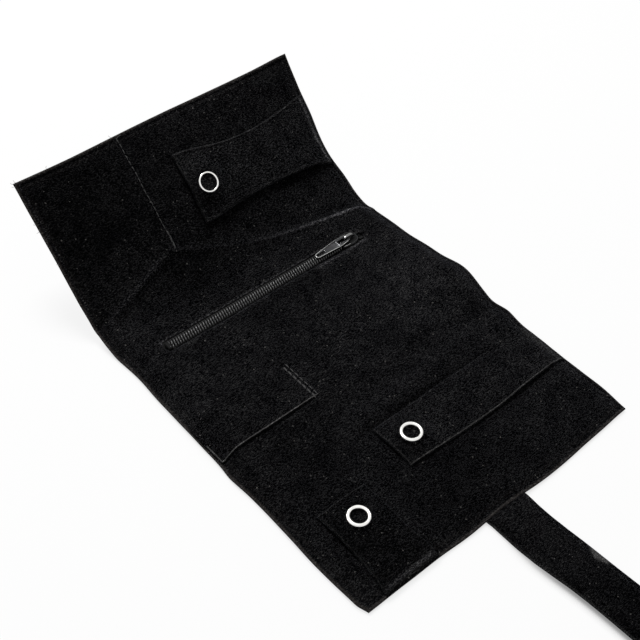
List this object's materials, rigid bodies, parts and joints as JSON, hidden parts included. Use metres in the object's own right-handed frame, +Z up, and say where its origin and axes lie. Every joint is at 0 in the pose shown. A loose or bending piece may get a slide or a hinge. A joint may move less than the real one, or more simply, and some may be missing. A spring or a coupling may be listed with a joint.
{
  "type": "jewelry roll",
  "caption": "Tri-fold velvet jewelry roll laid open, with a zipped pocket, snap straps on ring snaps, a sewn band and a tie strap.",
  "frame": {"origin": "middle of the underside of the middle panel, on the surface that the open roll lies on", "axes": "+X across the roll towards the edge where the flap strap and side strap are sewn, +Y along the roll from the tie strap towards the flap, +Z up from the underside to the lining"},
  "size_m": [0.1536, 0.4253, 0.0555],
  "materials": {
    "velvet": "black cotton velvet with a short pile",
    "strap_velvet": "black cotton velvet, doubled",
    "interlining": "stiff felt interlining",
    "pocket_cloth": "thin black lining cloth",
    "zip_tape": "black woven zip tape",
    "zip_coil": "black nylon coil",
    "black_metal": "black-plated zinc, satin",
    "nickel": "bright nickel plate"
  },
  "bodies": {
    "middle_panel": {"middle_outer_shell": "velvet", "middle_interlining": "interlining", "zip_pocket_back": "pocket_cloth", "middle_lining": "velvet", "zip_tape_upper": "zip_tape", "zip_tape_lower": "zip_tape", "zip_coil_upper": "zip_coil", "zip_coil_lower": "zip_coil", "zip_top_stop_upper": "black_metal", "zip_top_stop_lower": "black_metal", "zip_bottom_stop": "black_metal", "sewn_band": "strap_velvet", "flap_fold_outer": "velvet", "flap_fold_lining": "velvet", "end_fold_outer": "velvet", "end_fold_lining": "velvet"},
    "flap_panel": {"flap_outer_shell": "velvet", "flap_interlining": "interlining", "flap_pocket_lining": "velvet", "flap_snap_stud": "nickel", "flap_snap_back_ring": "nickel"},
    "flap_strap_leaf": {"flap_strap": "strap_velvet", "flap_snap_socket": "nickel", "flap_snap_cap_ring": "nickel"},
    "end_panel": {"end_outer_shell": "velvet", "end_interlining": "interlining", "end_lining": "velvet", "side_snap_stud": "nickel", "side_snap_back_ring": "nickel", "end_snap_stud": "nickel", "end_snap_back_ring": "nickel"},
    "side_strap_leaf": {"side_strap": "strap_velvet", "side_snap_socket": "nickel", "side_snap_cap_ring": "nickel"},
    "end_strap_leaf": {"end_strap": "strap_velvet", "end_snap_socket": "nickel", "end_snap_cap_ring": "nickel"},
    "zip_slider_body": {"zip_slider": "black_metal"},
    "zip_pull": {"zip_pull_tab": "black_metal"},
    "tie": {"tie_strap": "strap_velvet"}
  },
  "joints": [
    {"name": "flap_fold", "type": "hinge", "parent": "middle_panel", "child": "flap_panel", "pos_m": [0, 0.0436, 0.0107], "axis": [1, 0, 0], "range_deg": [-41.2, 135.8], "deforming": ["flap_fold_outer", "flap_fold_lining"]},
    {"name": "end_fold", "type": "hinge", "parent": "middle_panel", "child": "end_panel", "pos_m": [0, -0.0444, 0.0133], "axis": [-1, 0, 0], "range_deg": [0, 165], "deforming": ["end_fold_outer", "end_fold_lining"]},
    {"name": "flap_strap_swing", "type": "hinge", "parent": "flap_panel", "child": "flap_strap_leaf", "pos_m": [0.0753, 0.07395, 0.03235], "axis": [0, -0.7524, -0.6587], "range_deg": [-150, 0]},
    {"name": "side_strap_swing", "type": "hinge", "parent": "end_panel", "child": "side_strap_leaf", "pos_m": [0.0753, -0.0792, 0.0048], "axis": [0, -1, 0], "range_deg": [-150, 0]},
    {"name": "end_strap_swing", "type": "hinge", "parent": "end_panel", "child": "end_strap_leaf", "pos_m": [-0.0519, -0.1261, 0.0048], "axis": [-1, 0, 0], "range_deg": [-150, 0]},
    {"name": "zip_slide", "type": "slide", "parent": "middle_panel", "child": "zip_slider_body", "axis": [1, 0, 0], "range_m": [-0.098, 0], "deforming": ["zip_coil_upper", "zip_coil_lower"]},
    {"name": "pull_swing", "type": "hinge", "parent": "zip_slider_body", "child": "zip_pull", "pos_m": [0.04785, 0.0221, 0.00845], "axis": [0, -1, 0], "range_deg": [-150, 0]},
    {"name": "tie_swing", "type": "hinge", "parent": "end_panel", "child": "tie", "pos_m": [-0.0007, -0.13036, 0.0015], "axis": [0.9968, 0.0802, 0], "range_deg": [-100, 20]}
  ]
}
